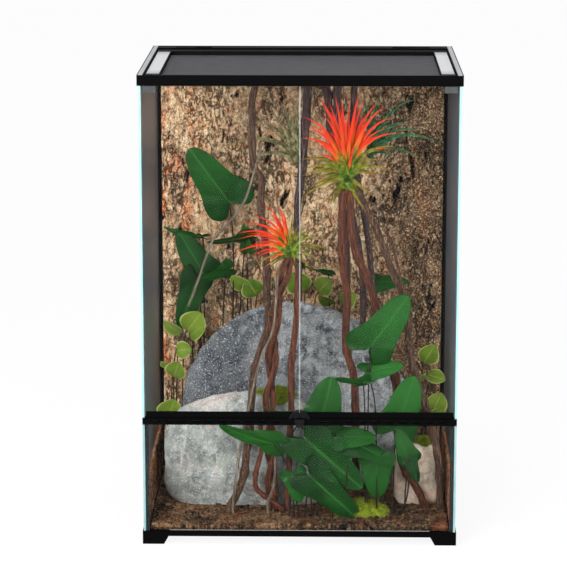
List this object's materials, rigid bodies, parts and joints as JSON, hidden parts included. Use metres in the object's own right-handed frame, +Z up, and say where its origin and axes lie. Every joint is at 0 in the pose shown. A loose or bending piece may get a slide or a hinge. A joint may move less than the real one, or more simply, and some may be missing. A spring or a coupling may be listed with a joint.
{
  "type": "reptile terrarium",
  "caption": "Tall front-opening glass terrarium with black frames, a screen lid, a rotary door lock, and bark, stones, lianas and plants inside.",
  "frame": {"origin": "middle of the footprint, on the table under the feet", "axes": "+Z up, +Y to the back, +X to the right of someone facing the doors, which open towards -Y"},
  "size_m": [0.606, 0.463, 0.91],
  "materials": {
    "frame": "satin black moulding with a fine grain",
    "glass": "clear with green-blue edges",
    "silicone": "black, smooth",
    "mesh": "fine woven screen",
    "plate": "light grey, satin",
    "steel": "bright",
    "cork": "rough bark with black cracks",
    "litter": "bark chips",
    "blue_stone": "weathered, pale flecks",
    "grey_stone": "weathered, streaked",
    "sandstone": "rough",
    "moss": "tufted",
    "liana": "ridged bark, matt",
    "twig": "dry, pale",
    "arrow_leaf": "satin leaf",
    "round_leaf": "satin leaf",
    "red_blade": "satin, green towards the core",
    "olive_blade": "satin",
    "green_blade": "satin"
  },
  "bodies": {
    "tank": {"base_frame": "frame", "foot_front_left": "frame", "foot_front_right": "frame", "foot_rear_left": "frame", "foot_rear_right": "frame", "bottom_pane": "glass", "back_pane": "glass", "left_pane": "glass", "right_pane": "glass", "front_pane": "glass", "corner_beads": "silicone", "vent_strip": "frame", "vent_screen": "mesh", "top_frame": "frame", "bark_background": "cork", "bark_floor": "litter", "bark_strip_left": "litter", "bark_strip_right": "litter", "rear_boulder": "blue_stone", "front_boulder": "grey_stone", "sandstone_slab": "sandstone", "moss_cushions": "moss", "liana_left": "liana", "liana_twist": "liana", "liana_straight": "liana", "liana_trunk": "liana", "liana_right": "liana", "hanging_lianas": "liana", "thin_twigs": "twig", "arrow_plant_rear": "arrow_leaf", "arrow_plant_right": "arrow_leaf", "arrow_plant_front": "arrow_leaf", "round_plant_left": "round_leaf", "round_plant_middle": "round_leaf", "round_plant_right": "round_leaf", "air_plant_large": "red_blade", "air_plant_small": "red_blade", "air_plant_olive": "olive_blade", "air_plant_green": "green_blade"},
    "left_door": {"left_door_pane": "glass", "left_door_rail": "frame", "left_door_cap": "frame", "left_handle": "frame"},
    "right_door": {"right_door_pane": "glass", "right_door_rail": "frame", "right_door_cap": "frame", "right_handle": "frame"},
    "lock": {"lock_knob": "frame", "lock_spindle": "steel", "lock_washer": "steel"},
    "lid": {"lid_frame": "frame", "lid_screen": "mesh", "lid_plate_left": "plate", "lid_plate_right": "plate"},
    "left_latch": {"latch_left": "frame"},
    "right_latch": {"latch_right": "frame"},
    "left_gate": {"gate_left": "frame"},
    "right_gate": {"gate_right": "frame"}
  },
  "joints": [
    {"name": "left_door_hinge", "type": "hinge", "parent": "tank", "child": "left_door", "pos_m": [-0.29, -0.2175, 0.25], "axis": [0, 0, -1], "range_deg": [0, 105]},
    {"name": "right_door_hinge", "type": "hinge", "parent": "tank", "child": "right_door", "pos_m": [0.29, -0.2175, 0.25], "axis": [0, 0, 1], "range_deg": [0, 105]},
    {"name": "lock_turn", "type": "hinge", "parent": "tank", "child": "lock", "pos_m": [0, -0.22, 0.2482], "axis": [0, 1, 0], "range_deg": [0, 180]},
    {"name": "lid_lift", "type": "slide", "parent": "tank", "child": "lid", "axis": [0, 0, 1], "range_m": [0, 0.15]},
    {"name": "left_latch_turn", "type": "hinge", "parent": "lid", "child": "left_latch", "pos_m": [-0.2695, -0.207, 0.9], "axis": [0, 0, -1], "range_deg": [0, 90]},
    {"name": "right_latch_turn", "type": "hinge", "parent": "lid", "child": "right_latch", "pos_m": [0.2695, -0.207, 0.9], "axis": [0, 0, 1], "range_deg": [0, 90]},
    {"name": "left_gate_slide", "type": "slide", "parent": "tank", "child": "left_gate", "axis": [1, 0, 0], "range_m": [0, 0.034]},
    {"name": "right_gate_slide", "type": "slide", "parent": "tank", "child": "right_gate", "axis": [-1, 0, 0], "range_m": [0, 0.034]}
  ]
}
